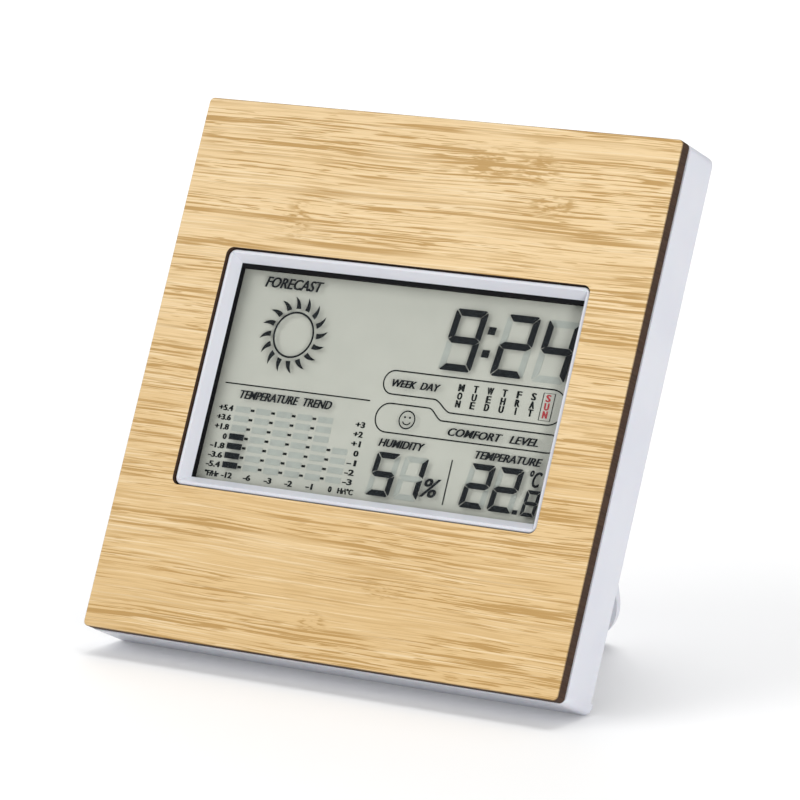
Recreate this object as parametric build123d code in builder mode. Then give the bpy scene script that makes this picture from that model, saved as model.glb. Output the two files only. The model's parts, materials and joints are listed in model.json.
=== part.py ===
"""Desk weather station: a white ABS case with a bamboo face, an LCD behind a bezel and a fold-out stand.

The case leans back on its lower rear edge and on the tip of the stand leg. Every piece is drawn in the
case's own leaning frame: x to the right, y up the face, and depth measured back from the bamboo's front.
"""

import os
from math import atan2, cos, degrees, radians, sin, tan

from build123d import *

# Overall sizes, millimetres and degrees
panel_side = 125.0
panel_thick = 3.0
panel_corner = 1.2
case_depth = 12.0
case_proud = 0.2
lean_angle = 24.3
open_angle = 39.0
cut_over = 1.0

# Window and bezel
window_width = 96.0
window_height = 55.8
window_corner = 1.8
window_rise = 0.2
collar_gap = 0.3
collar_drop = 0.75
collar_lip = 0.85
bezel_depth = 3.2
bezel_slope = 1.6
flange_width = 1.6

# Case shell and tape
tape_thick = 0.3
tape_inset = 2.0
wall = 2.0
bottom_wall = 2.7
front_wall = 1.6
case_corner = 2.0
edge_round = 0.5
lip_round = 0.3
cut_chamfer = 0.15

# Display stack
gasket_inset = 0.1
gasket_show = 0.9
polariser_thick = 0.15
pane_thick = 0.55
reflector_thick = 0.2
glass_width = 98.0
glass_height = 58.0
contact_ledge = 2.4
zebra_width = 1.8
zebra_length = 88.0
guide_clear = 0.1
retainer_height = 2.45
retainer_border = 4.6

# Circuit board and what is soldered on it
board_width = 110.0
board_height = 62.0
board_thick = 1.0
post_radius = 2.2
post_x = 52.0
post_y = 28.0
board_screw_shank = 0.9
board_screw_head = 1.9
board_screw_length = 5.0
board_hole_clear = 0.2
chip_radius = 6.0
chip_height = 1.2
chip_dome = 0.95
crystal_radius = 0.75
crystal_length = 5.0
resistor_size = (2.0, 1.2)
resistor_pitch = (4.0, 5.0)
capacitor_size = (1.6, 0.8)
capacitor_pitch = (3.6, 3.0)
component_height = 0.6
sensor_x = 46.0
sensor_y = 22.5
humidity_width = 5.0
humidity_length = 7.0
humidity_height = 2.2
humidity_corner = 0.5
slit_length = 3.6
slit_width = 0.6
slit_pitch = 1.4
slit_depth = 1.0
slit_count = 4
bead_radius = 1.0
bead_left = 5.0
bead_below = 4.0

# Screw heads, as proportions of their own radius and height
head_round = 0.4
cross_length = 1.1
cross_width = 0.25
cross_depth = 0.5

# Buttons on the back
button_x = 46.0
button_rows = {"top": 13.0, "middle": -2.0, "bottom": -17.0}
button_travel = 0.5
cap_radius = 3.2
cap_gap = 0.3
cap_flange = 0.9
cap_flange_thick = 0.8
cap_proud = 0.6
cap_round = 0.4
plunger_radius = 1.6
plunger_clear = 0.1
plunger_room = 0.5
switch_side = 6.0
switch_corner = 0.4
switch_height = 2.6
switch_floor = 0.3

# Back cover
cover_thick = 1.2
cover_inset = 0.4
cover_fit = 0.15
rim_thick = 1.2
rim_height = 1.5
boss_inset = 7.2
boss_radius = 3.2
boss_floor = 1.3
head_recess = 0.3
screw_shank = 1.2
screw_head = 2.3
screw_head_height = 1.4
screw_length = 7.0

# Batteries, size AAA
cell_radius = 5.25
cell_length = 44.5
cell_nub = 1.0
cell_nub_radius = 1.9
cell_spacing = 0.7
cell_gap = 0.1
spring_room = 6.7
contact_thick = 0.4
contact_side = 8.5
well_wall = 1.2
well_floor = 0.8
well_play = 0.3
well_clear = 0.2
well_rise = 45.25
hump_border = 3.0
door_thick = 1.2
door_gap = 0.2
door_tongue = 1.2
tongue_thick = 0.6
tongue_short = 2.4
door_lap = 1.5
door_play = 0.1
door_side_gap = 0.2
grip_width = 22.0
grip_height = 0.4
grip_rise = 4.8
grip_pitch = 1.8
grip_slot = 0.6
grip_count = 4
tab_width = 3.0
tab_reach = 3.5
tab_clear = 0.1
spring_base = 3.6
spring_tip = 2.6
spring_wire = 0.6

# Stand leg and its hinge
leg_width = 74.0
leg_thick = 2.0
leg_corner = 12.0
leg_clear = 0.3
leg_sink = 0.1
leg_behind = 0.2
hinge_rise = 27.5
barrel_radius = 1.6
pivot_radius = 1.2
pivot_length = 2.4
pivot_clear = 0.05
ear_width = 3.6
recess_floor = 1.0
recess_room = 0.6
trough_room = 1.8
finger_radius = 7.0
finger_offset = 4.2
leg_edge = 0.5

# Sounder
sounder_x = -45.5
sounder_y = 43.5
brass_radius = 10.0
ceramic_radius = 7.0
brass_thick = 0.2
ceramic_thick = 0.15
sounder_ledge = 0.7
brass_clear = 0.2
sound_hole = 0.8
sound_hole_circle = 4.0
sound_hole_count = 6

# Sensor vents, screw clearance and wires
vent_length = 10.0
vent_width = 1.2
vent_pitch = 2.4
vent_count = 4
screw_clear = 0.3
wire_radius = 0.5
bend_share = 0.45
pad_inset = 3.5
wire_bay = 7.0
wire_spacing = 3.0
wire_slant = 0.5
lead_spread = 1.5
lead_glued = 5.0
lead_lift = 0.15
lead_rest = 0.1

# Depths behind the panel's front face, worked out from the sizes above
case_front = panel_thick + tape_thick
case_back = case_front + case_depth
case_side = panel_side + 2 * case_proud
half_case = case_side / 2
boss_offset = half_case - boss_inset
cavity_half = half_case - wall
cavity_bottom = bottom_wall - half_case
wall_back = case_front + front_wall
glass_front = wall_back + polariser_thick
glass_middle = glass_front + pane_thick
glass_back = glass_middle + pane_thick
reflector_back = glass_back + reflector_thick
board_front = reflector_back + retainer_height
board_back = board_front + board_thick
cover_front = case_back - cover_thick
head_seat = case_back - head_recess - screw_head_height
boss_back = head_seat - boss_floor
cell_pitch = 2 * cell_radius + cell_spacing
cell_y = (well_rise - cell_pitch / 2, well_rise + cell_pitch / 2)
well_front = wall_back + well_clear
cell_depth = well_front + well_floor + cell_gap + cell_radius
door_front = cell_depth + cell_radius + door_gap
hump_back = door_front + door_thick
well_half_x = (cell_length + spring_room + 2 * contact_thick) / 2
well_half_y = (cell_pitch + 2 * cell_radius) / 2 + well_play
hump_half_x = well_half_x + well_wall + hump_border
hump_bottom = well_rise - well_half_y - hump_border
hump_top = half_case - hump_border
hinge_depth = case_back - barrel_radius
leg_front_offset = barrel_radius - leg_sink - leg_thick
floor_back = hinge_depth + leg_front_offset - leg_behind
floor_front = floor_back - recess_floor
trough_back = hinge_depth - barrel_radius - leg_behind
trough_front = trough_back - recess_floor
recess_half = leg_width / 2 + leg_clear
leg_lean = open_angle - lean_angle
aperture_width = window_width - 2 * (collar_gap + collar_lip + bezel_slope)
aperture_height = window_height - 2 * (collar_gap + collar_lip + bezel_slope)
pocket_width = aperture_width + 2 * flange_width
pocket_height = aperture_height + 2 * flange_width

# The leg reaches the ground that the case's rounded lower rear edge stands on
lean_cos = cos(radians(lean_angle))
lean_sin = sin(radians(lean_angle))
edge_drop = edge_round * (lean_cos + lean_sin - 1)
hinge_height = (hinge_rise + half_case) * lean_cos + (case_back - hinge_depth) * lean_sin - edge_drop
leg_length = (hinge_height + leg_front_offset * sin(radians(leg_lean))) / cos(radians(leg_lean))

# Where the panel's centre stands, so that the whole object is centred over the origin
centre_height = half_case * lean_cos + case_back * lean_sin - edge_drop
front_reach = -panel_side / 2 * lean_sin
leg_heel = (leg_front_offset + leg_thick) * cos(radians(leg_lean))
leg_reach = leg_length * sin(radians(leg_lean)) + leg_heel
rear_reach = hinge_rise * lean_sin + hinge_depth * lean_cos + leg_reach
centre_y = -(front_reach + rear_reach) / 2
case = Plane(origin=(0, centre_y, centre_height), x_dir=(1, 0, 0), z_dir=(0, -lean_cos, lean_sin))
case_up = Axis(case.origin, case.y_dir)
case_forward = Axis(case.origin, case.z_dir)

os.makedirs("parts", exist_ok=True)


def layer(depth):
    """Sketch plane parallel to the panel, this far behind its front face."""
    return case.offset(-depth)


def across(x, y, depth):
    """Sketch plane whose normal runs to the right, at a point of the case's frame."""
    return Plane(origin=case.from_local_coords((x, y, -depth)), x_dir=case.y_dir, z_dir=(1, 0, 0))


def save(piece, label):
    """Name a finished piece and write its STEP file."""
    piece.part.label = label
    export_step(piece.part, f"parts/{label}.step")


# Bamboo panel: laser-cut sheet with the window cut out of it
with BuildPart() as bamboo_panel:
    with BuildSketch(layer(panel_thick)):
        RectangleRounded(panel_side, panel_side, panel_corner)
        with Locations((0, window_rise)):
            RectangleRounded(window_width, window_height, window_corner, mode=Mode.SUBTRACT)
    extrude(amount=panel_thick)
    chamfer(bamboo_panel.faces().sort_by(case_forward)[-1].outer_wire().edges(), length=cut_chamfer)
save(bamboo_panel, "bamboo_panel")

# Double-sided tape that holds the panel on the case
with BuildPart() as panel_tape:
    with BuildSketch(layer(case_front)):
        RectangleRounded(panel_side - 2 * tape_inset, panel_side - 2 * tape_inset, panel_corner)
        with Locations((0, window_rise)):
            Rectangle(window_width + 2 * tape_inset, window_height + 2 * tape_inset, mode=Mode.SUBTRACT)
    extrude(amount=tape_thick)
save(panel_tape, "panel_tape")

# Front case: open-backed tray, its bezel collar standing through the panel's window
with BuildPart() as front_case:
    with BuildSketch(layer(case_back)):
        RectangleRounded(case_side, case_side, case_corner)
    extrude(amount=case_depth)
    lower_edges = front_case.edges().filter_by(Axis.X).sort_by(case_up)[:2]
    fillet(lower_edges.sort_by(case_forward)[0], radius=edge_round)
    with BuildSketch(layer(case_back)):
        with Locations((0, (cavity_half + cavity_bottom) / 2)):
            RectangleRounded(2 * cavity_half, cavity_half - cavity_bottom, case_corner / 2)
    extrude(amount=case_depth - front_wall, mode=Mode.SUBTRACT)
    with BuildSketch(layer(case_back)):
        with Locations((0, cavity_bottom + case_side / 2)):
            Rectangle(case_side + 2 * cut_over, case_side)
    extrude(amount=cover_thick, mode=Mode.SUBTRACT)
    collar_width = window_width - 2 * collar_gap
    collar_height = window_height - 2 * collar_gap
    with BuildSketch(layer(case_front)):
        with Locations((0, window_rise)):
            RectangleRounded(collar_width, collar_height, window_corner)
    extrude(amount=case_front - collar_drop)
    with BuildSketch(layer(wall_back)):
        with Locations((0, window_rise)):
            Rectangle(aperture_width, aperture_height)
    extrude(amount=wall_back, mode=Mode.SUBTRACT)
    with BuildSketch(layer(bezel_depth)):
        with Locations((0, window_rise)):
            Rectangle(aperture_width, aperture_height)
    slope_angle = degrees(atan2(bezel_slope, bezel_depth - collar_drop))
    extrude(amount=bezel_depth - collar_drop, taper=-slope_angle, mode=Mode.SUBTRACT)
    lip = front_case.faces().sort_by(case_forward)[-1]
    fillet(lip.outer_wire().edges(), radius=lip_round)
    with BuildSketch(layer(wall_back)):
        with Locations((0, window_rise)):
            Rectangle(pocket_width, pocket_height)
    extrude(amount=wall_back - bezel_depth, mode=Mode.SUBTRACT)
    with BuildSketch(layer(boss_back)):
        with GridLocations(2 * boss_offset, 2 * boss_offset, 2, 2):
            Circle(boss_radius)
    extrude(amount=boss_back - wall_back)
    with BuildSketch(layer(boss_back)):
        with GridLocations(2 * boss_offset, 2 * boss_offset, 2, 2):
            Circle(screw_shank)
    extrude(amount=screw_length, mode=Mode.SUBTRACT)
    with BuildSketch(layer(board_front)):
        with GridLocations(2 * post_x, 2 * post_y, 2, 2):
            Circle(post_radius)
    extrude(amount=board_front - wall_back)
    with BuildSketch(layer(board_front)):
        with GridLocations(2 * post_x, 2 * post_y, 2, 2):
            Circle(board_screw_shank)
    extrude(amount=board_screw_length - board_thick, mode=Mode.SUBTRACT)
save(front_case, "front_case")

# Black foam gasket between the bezel and the glass; its upper edge shows a little below the bezel
with BuildPart() as lcd_gasket:
    with BuildSketch(layer(wall_back)):
        with Locations((0, window_rise)):
            Rectangle(pocket_width - 2 * gasket_inset, pocket_height - 2 * gasket_inset)
        with Locations((0, window_rise - gasket_show / 2)):
            Rectangle(aperture_width, aperture_height - gasket_show, mode=Mode.SUBTRACT)
    extrude(amount=wall_back - bezel_depth)
save(lcd_gasket, "lcd_gasket")

# Display: front polariser, two glass panes with contact ledges, and the reflector behind them
pane_height = glass_height - 2 * contact_ledge
with BuildPart() as front_polariser:
    with BuildSketch(layer(glass_front)):
        with Locations((0, window_rise)):
            Rectangle(glass_width, pane_height)
    extrude(amount=polariser_thick)
save(front_polariser, "front_polariser")

with BuildPart() as lcd_glass:
    with BuildSketch(layer(glass_middle)):
        with Locations((0, window_rise)):
            Rectangle(glass_width, glass_height)
    extrude(amount=pane_thick)
    with BuildSketch(layer(glass_back)):
        with Locations((0, window_rise)):
            Rectangle(glass_width, pane_height)
    extrude(amount=pane_thick)
save(lcd_glass, "lcd_glass")

with BuildPart() as reflector_film:
    with BuildSketch(layer(reflector_back)):
        with Locations((0, window_rise)):
            Rectangle(glass_width, pane_height)
    extrude(amount=reflector_thick)
save(reflector_film, "reflector_film")

# Rubber zebra strips carry the segment signals from the glass ledges to the board
zebra_y = (glass_height - contact_ledge) / 2
with BuildPart() as zebra_strips:
    with BuildSketch(layer(board_front)):
        with Locations((0, window_rise)):
            with GridLocations(1, 2 * zebra_y, 1, 2):
                Rectangle(zebra_length, zebra_width)
    extrude(amount=board_front - glass_middle)
save(zebra_strips, "zebra_strips")

# White frame that holds the display against the case and guides the zebra strips
with BuildPart() as lcd_retainer:
    with BuildSketch(layer(board_front)):
        with Locations((0, window_rise)):
            Rectangle(glass_width, glass_height + contact_ledge)
            Rectangle(glass_width - 2 * retainer_border, pane_height - retainer_border, mode=Mode.SUBTRACT)
            with GridLocations(1, 2 * zebra_y, 1, 2):
                Rectangle(zebra_length + 2 * guide_clear, zebra_width + 2 * guide_clear, mode=Mode.SUBTRACT)
    extrude(amount=retainer_height)
save(lcd_retainer, "lcd_retainer")

# Circuit board and the parts on its rear side
with BuildPart() as main_board:
    with BuildSketch(layer(board_back)):
        RectangleRounded(board_width, board_height, panel_corner)
        with GridLocations(2 * post_x, 2 * post_y, 2, 2):
            Circle(board_screw_shank + board_hole_clear, mode=Mode.SUBTRACT)
    extrude(amount=board_thick)
save(main_board, "main_board")

with BuildPart() as driver_chip:
    with BuildSketch(layer(board_back)):
        Circle(chip_radius)
    extrude(amount=-chip_height)
    fillet(driver_chip.faces().sort_by(case_forward)[0].edges(), radius=chip_dome)
save(driver_chip, "driver_chip")

with BuildPart() as clock_crystal:
    with BuildSketch(across(chip_radius * 2, -chip_radius, board_back + crystal_radius)):
        Circle(crystal_radius)
    extrude(amount=crystal_length)
    fillet(clock_crystal.edges().filter_by(GeomType.CIRCLE), radius=crystal_radius / 4)
save(clock_crystal, "clock_crystal")

with BuildPart() as board_components:
    with BuildSketch(layer(board_back)):
        with Locations((-chip_radius * 2.6, 0)):
            with GridLocations(*resistor_pitch, 3, 4):
                Rectangle(*resistor_size)
        with Locations((chip_radius * 2.8, chip_radius)):
            with GridLocations(*capacitor_pitch, 3, 2):
                Rectangle(*capacitor_size)
    extrude(amount=-component_height)
save(board_components, "board_components")

with BuildPart() as humidity_sensor:
    with BuildSketch(layer(board_back)):
        with Locations((sensor_x, sensor_y)):
            RectangleRounded(humidity_width, humidity_length, humidity_corner)
    extrude(amount=-humidity_height)
    with BuildSketch(layer(board_back + humidity_height)):
        with Locations((sensor_x, sensor_y)):
            with GridLocations(1, slit_pitch, 1, slit_count):
                Rectangle(slit_length, slit_width)
    extrude(amount=slit_depth, mode=Mode.SUBTRACT)
save(humidity_sensor, "humidity_sensor")

bead_place = (sensor_x - bead_left, sensor_y - bead_below, -board_back - bead_radius)
with BuildPart() as temperature_sensor:
    with Locations(case.from_local_coords(bead_place)):
        Sphere(bead_radius)
save(temperature_sensor, "temperature_sensor")

# Screw with a pan head and a cross recess, its head seated on a face at the given depth
def pan_screws(seat, length, shank, head, head_height, spacing_x, spacing_y):
    """Four equal screws at the corners of a rectangle."""
    with BuildPart() as screws:
        with BuildSketch(layer(seat)):
            with GridLocations(spacing_x, spacing_y, 2, 2):
                Circle(head)
        extrude(amount=-head_height)
        rims = screws.faces().sort_by(case_forward)[:4].edges()
        fillet(rims, radius=head_height * head_round)
        with BuildSketch(layer(seat)):
            with GridLocations(spacing_x, spacing_y, 2, 2):
                Circle(shank)
        extrude(amount=length)
        with BuildSketch(layer(seat + head_height)):
            with GridLocations(spacing_x, spacing_y, 2, 2):
                Rectangle(head * cross_length, head * cross_width)
                Rectangle(head * cross_width, head * cross_length)
        extrude(amount=head_height * cross_depth, mode=Mode.SUBTRACT)
    return screws


board_screws = pan_screws(
    board_back, board_screw_length, board_screw_shank, board_screw_head, 1.1, 2 * post_x, 2 * post_y
)
save(board_screws, "board_screws")
case_screws = pan_screws(
    head_seat, screw_length + boss_floor, screw_shank, screw_head, screw_head_height,
    2 * boss_offset, 2 * boss_offset,
)
save(case_screws, "case_screws")

# Six push buttons: a switch body on the board, its plunger, and a cap in the cover's hole
button_names = ("mode", "set", "up", "down", "unit", "alarm")
button_places = [(side * button_x, y) for side in (-1, 1) for y in button_rows.values()]
cap_front = board_back + switch_height + button_travel + plunger_clear
with BuildPart() as switch_bodies:
    with BuildSketch(layer(board_back)):
        with Locations(*button_places):
            RectangleRounded(switch_side, switch_side, switch_corner)
    extrude(amount=-switch_height)
    with BuildSketch(layer(board_back + switch_height)):
        with Locations(*button_places):
            Circle(plunger_radius + plunger_clear)
    extrude(amount=switch_height - switch_floor, mode=Mode.SUBTRACT)
save(switch_bodies, "switch_bodies")

for name, place in zip(button_names, button_places):
    with BuildPart() as plunger:
        with BuildSketch(layer(cap_front)):
            with Locations(place):
                Circle(plunger_radius)
        extrude(amount=cap_front - board_back - button_travel - plunger_room)
    save(plunger, f"{name}_plunger")
    with BuildPart() as cap:
        with BuildSketch(layer(cap_front)):
            with Locations(place):
                Circle(cap_radius + cap_flange)
        extrude(amount=-cap_flange_thick)
        with BuildSketch(layer(cap_front)):
            with Locations(place):
                Circle(cap_radius)
        extrude(amount=cap_front - case_back - cap_proud)
        fillet(cap.faces().sort_by(case_forward)[0].edges(), radius=cap_round)
    save(cap, f"{name}_button")

# Sounder: a brass disc with its ceramic layer, glued in a ring of the back cover
brass_back = cover_front - sounder_ledge
with BuildPart() as sounder_disc:
    with BuildSketch(layer(brass_back)):
        with Locations((sounder_x, sounder_y)):
            Circle(brass_radius)
    extrude(amount=brass_thick)
save(sounder_disc, "sounder_disc")

ceramic_front = brass_back - brass_thick - ceramic_thick
ring_front = ceramic_front - sounder_ledge
with BuildPart() as sounder_ceramic:
    with BuildSketch(layer(brass_back - brass_thick)):
        with Locations((sounder_x, sounder_y)):
            Circle(ceramic_radius)
    extrude(amount=ceramic_thick)
save(sounder_ceramic, "sounder_ceramic")

# Two AAA cells lying across the back, one facing each way, with their contacts and springs
cell_end = well_half_x - contact_thick
with BuildPart() as battery_cells:
    for y, way in zip(cell_y, (-1, 1)):
        with BuildSketch(across(-way * (cell_length - cell_end), y, cell_depth)):
            Circle(cell_radius)
        extrude(amount=way * (cell_length - cell_nub))
        with BuildSketch(across(way * (cell_end - cell_nub), y, cell_depth)):
            Circle(cell_nub_radius)
        extrude(amount=way * cell_nub)
save(battery_cells, "battery_cells")

with BuildPart() as battery_contacts:
    for y, way in zip(cell_y, (-1, 1)):
        with BuildSketch(across(-cell_end, y, cell_depth)):
            Rectangle(contact_side, contact_side)
        extrude(amount=-contact_thick)
        with BuildSketch(layer(cell_depth + tab_width / 2)):
            with Locations((-well_half_x - tab_reach / 2 + contact_thick / 2, y)):
                Rectangle(tab_reach + contact_thick, contact_thick)
        extrude(amount=tab_width)
    with BuildSketch(across(cell_end, well_rise, cell_depth)):
        Rectangle(cell_pitch + contact_side, contact_side)
    extrude(amount=contact_thick)
save(battery_contacts, "battery_contacts")

with BuildPart() as battery_springs:
    for y, way in zip(cell_y, (-1, 1)):
        with BuildSketch(across(-way * cell_end, y, cell_depth)):
            Circle(spring_base)
        with BuildSketch(across(-way * (cell_end - spring_room), y, cell_depth)):
            Circle(spring_tip)
        loft()
        with BuildSketch(across(-way * cell_end, y, cell_depth)):
            Circle(spring_tip - 2 * spring_wire)
        extrude(amount=way * spring_room, mode=Mode.SUBTRACT)
save(battery_springs, "battery_springs")

# Back cover: plate with the battery well and hump, the leg's recess, button holes, vents and screw bosses
cover_half = half_case - cover_inset
cover_bottom = cavity_bottom + cover_fit
cover_middle = (cover_half + cover_bottom) / 2
recess_top = hinge_rise + barrel_radius + recess_room
recess_bottom = cover_bottom - cut_over
trough_bottom = hinge_rise - barrel_radius - trough_room
rim_half = cavity_half - cover_fit
rim_front = cover_front - rim_height
side_wall = well_wall + recess_half
with BuildPart() as back_cover:
    with BuildSketch(layer(case_back)):
        with Locations((0, cover_middle)):
            RectangleRounded(2 * cover_half, cover_half - cover_bottom, case_corner - cover_inset)
    extrude(amount=cover_thick)
    fillet(back_cover.faces().sort_by(case_forward)[0].outer_wire().edges(), radius=edge_round)
    # rim that centres the cover in the case
    with BuildSketch(layer(cover_front)):
        with Locations((0, (rim_half + cover_bottom) / 2)):
            RectangleRounded(2 * rim_half, rim_half - cover_bottom, case_corner / 2)
            Rectangle(2 * (rim_half - rim_thick), rim_half - cover_bottom - 2 * rim_thick, mode=Mode.SUBTRACT)
        with GridLocations(2 * boss_offset, 2 * boss_offset, 2, 2):
            Circle(boss_radius + cap_gap, mode=Mode.SUBTRACT)
    extrude(amount=rim_height)
    # screw bosses
    with BuildSketch(layer(cover_front)):
        with GridLocations(2 * boss_offset, 2 * boss_offset, 2, 2):
            Circle(boss_radius)
    extrude(amount=cover_front - boss_back)
    with BuildSketch(layer(case_back)):
        with GridLocations(2 * boss_offset, 2 * boss_offset, 2, 2):
            Circle(screw_head + screw_clear)
    extrude(amount=case_back - head_seat, mode=Mode.SUBTRACT)
    with BuildSketch(layer(case_back)):
        with GridLocations(2 * boss_offset, 2 * boss_offset, 2, 2):
            Circle(screw_shank + screw_clear / 2)
    extrude(amount=case_back - boss_back, mode=Mode.SUBTRACT)
    # sounder ring, its ledge and the sound holes
    with BuildSketch(layer(cover_front)):
        with Locations((sounder_x, sounder_y)):
            Circle(brass_radius + well_wall)
            Circle(brass_radius - well_wall, mode=Mode.SUBTRACT)
    extrude(amount=cover_front - ring_front)
    with BuildSketch(layer(brass_back)):
        with Locations((sounder_x, sounder_y)):
            Circle(brass_radius + brass_clear)
    extrude(amount=brass_back - ring_front, mode=Mode.SUBTRACT)
    with BuildSketch(layer(case_back)):
        with Locations((sounder_x, sounder_y)):
            Circle(sound_hole)
            with PolarLocations(sound_hole_circle, sound_hole_count):
                Circle(sound_hole)
    extrude(amount=cover_thick, mode=Mode.SUBTRACT)
    # vents over the sensors
    with BuildSketch(layer(case_back)):
        with Locations((sensor_x, sensor_y)):
            with GridLocations(1, vent_pitch, 1, vent_count):
                SlotOverall(vent_length, vent_width)
    extrude(amount=cover_thick, mode=Mode.SUBTRACT)
    # button holes
    with BuildSketch(layer(case_back)):
        with Locations(*button_places):
            Circle(cap_radius + cap_gap)
    extrude(amount=cover_thick, mode=Mode.SUBTRACT)
    # leg recess: floor, side walls, hinge trough and ears
    with BuildSketch(layer(case_back)):
        with Locations((0, (recess_top + well_wall + cover_bottom) / 2)):
            Rectangle(2 * side_wall, recess_top + well_wall - cover_bottom)
    extrude(amount=case_back - floor_front)
    with BuildSketch(layer(case_back)):
        with Locations((0, (recess_top + trough_bottom) / 2)):
            Rectangle(2 * (recess_half + ear_width), recess_top - trough_bottom + 2 * well_wall)
    extrude(amount=case_back - trough_front)
    with BuildSketch(layer(case_back)):
        with Locations((0, (recess_top + recess_bottom) / 2)):
            Rectangle(2 * recess_half, recess_top - recess_bottom)
    extrude(amount=case_back - floor_back, mode=Mode.SUBTRACT)
    with BuildSketch(layer(case_back)):
        with Locations((0, (recess_top + trough_bottom) / 2)):
            Rectangle(2 * recess_half, recess_top - trough_bottom)
    extrude(amount=case_back - trough_back, mode=Mode.SUBTRACT)
    bore_half = recess_half + pivot_length
    with BuildSketch(across(-bore_half, hinge_rise, hinge_depth)):
        Circle(pivot_radius + pivot_clear)
    extrude(amount=2 * bore_half, mode=Mode.SUBTRACT)
    # battery hump and well
    with BuildSketch(layer(hump_back)):
        with Locations((0, (hump_top + hump_bottom) / 2)):
            RectangleRounded(2 * hump_half_x, hump_top - hump_bottom, case_corner)
    extrude(amount=hump_back - cover_front)
    with BuildSketch(layer(cover_front)):
        with Locations((0, well_rise)):
            Rectangle(2 * (well_half_x + well_wall), 2 * (well_half_y + well_wall))
    extrude(amount=cover_front - well_front)
    with BuildSketch(layer(hump_back)):
        with Locations((0, well_rise)):
            Rectangle(2 * well_half_x, 2 * well_half_y)
    extrude(amount=hump_back - well_front - well_floor, mode=Mode.SUBTRACT)
    # door seat and the grooves for its tongues, open at the top
    seat_bottom = well_rise - well_half_y - door_lap
    door_half = well_half_x + door_lap
    with BuildSketch(layer(hump_back)):
        with Locations((0, (seat_bottom + half_case) / 2)):
            Rectangle(2 * door_half, half_case - seat_bottom)
    extrude(amount=hump_back - door_front + door_play, mode=Mode.SUBTRACT)
    with BuildSketch(layer(door_front + tongue_thick + door_play)):
        with Locations((0, (seat_bottom + half_case) / 2)):
            Rectangle(2 * (door_half + door_tongue), half_case - seat_bottom)
    extrude(amount=tongue_thick + 2 * door_play, mode=Mode.SUBTRACT)
    # slots for the contacts' solder tabs
    for y in cell_y:
        with BuildSketch(layer(cell_depth + tab_width / 2 + tab_clear)):
            with Locations((-well_half_x - well_wall / 2, y)):
                Rectangle(well_wall + 2 * tab_clear, contact_thick + 2 * tab_clear)
        extrude(amount=tab_width + 2 * tab_clear, mode=Mode.SUBTRACT)
save(back_cover, "back_cover")

# Battery door with side tongues and a ribbed thumb grip
door_top = hump_top
door_width = 2 * (door_half - door_side_gap)
with BuildPart() as battery_door:
    door_bottom = seat_bottom + door_side_gap
    with BuildSketch(layer(hump_back)):
        with Locations((0, (door_bottom + door_top) / 2)):
            Rectangle(door_width, door_top - door_bottom)
    extrude(amount=door_thick)
    with BuildSketch(layer(door_front + tongue_thick)):
        with Locations((0, (door_bottom + door_top - tongue_short) / 2)):
            Rectangle(door_width + 2 * door_tongue, door_top - door_bottom - tongue_short)
    extrude(amount=tongue_thick)
    with BuildSketch(layer(hump_back)):
        with Locations((0, door_bottom + grip_rise)):
            with GridLocations(1, grip_pitch, 1, grip_count):
                SlotOverall(grip_width, grip_slot)
    extrude(amount=-grip_height)
save(battery_door, "battery_door")

# Stand leg, drawn open: plate, hinge barrel and the two pivots that snap into the ears
hinge_point = case.from_local_coords((0, hinge_rise, -hinge_depth))
leg_cos = cos(radians(leg_lean))
leg_sin = sin(radians(leg_lean))
leg = Plane(origin=hinge_point, x_dir=(1, 0, 0), z_dir=(0, -leg_cos, -leg_sin))
leg_rear = leg_front_offset + leg_thick
leg_forward = Axis(leg.origin, leg.z_dir)
with BuildPart() as stand_leg:
    with BuildSketch(leg.offset(-leg_rear)):
        with Locations((0, -leg_length / 2)):
            Rectangle(leg_width, leg_length)
        fillet(vertices().group_by(Axis.Y)[0], radius=leg_corner)
        with Locations((0, -leg_length - finger_offset)):
            Circle(finger_radius, mode=Mode.SUBTRACT)
    extrude(amount=leg_thick)
    fillet(stand_leg.faces().sort_by(leg_forward)[0].edges(), radius=leg_edge)
    with BuildSketch(Plane(origin=hinge_point, x_dir=leg.y_dir, z_dir=(1, 0, 0))):
        Circle(barrel_radius)
    extrude(amount=leg_width / 2, both=True)
    with BuildSketch(Plane(origin=hinge_point, x_dir=leg.y_dir, z_dir=(1, 0, 0))):
        Circle(pivot_radius)
    extrude(amount=leg_width / 2 + pivot_length, both=True)
save(stand_leg, "stand_leg")


def wire(points):
    """Insulated wire along straight runs joined by arcs as large as the runs allow."""
    places = [case.from_local_coords((x, y, -depth)) for x, y, depth in points]
    bends = []
    for before, here, after in zip(places, places[1:], places[2:]):
        shorter = min((here - before).length, (after - here).length)
        turn = radians((here - before).get_angle(after - here))
        bends.append(bend_share * shorter / tan(turn / 2))
    with BuildPart() as lead:
        with BuildLine() as route:
            FilletPolyline(*places, radius=bends)
        start = Plane(origin=route.line @ 0, z_dir=route.line % 0)
        with BuildSketch(start):
            Circle(wire_radius)
        sweep(path=route.line)
    length = sum(edge.length for edge in route.edges())
    print("bend radii", [round(bend, 1) for bend in bends], "length", round(length, 1))
    return lead


wire_depth = board_back + wire_radius
tab_end = -well_half_x - tab_reach
pad_y = board_height / 2 - pad_inset
near_bay = tab_end - wire_bay
far_bay = near_bay - wire_spacing
red_wire = wire([
    (tab_end, cell_y[0], wire_depth),
    (near_bay, cell_y[0], wire_depth),
    (near_bay, pad_y, wire_depth),
])
save(red_wire, "battery_wire_red")
black_wire = wire([
    (tab_end, cell_y[1], wire_depth),
    (far_bay, cell_y[1], wire_depth),
    (far_bay, cell_y[0], wire_depth),
    (far_bay - wire_slant, pad_y, wire_depth),
])
save(black_wire, "battery_wire_black")

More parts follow.
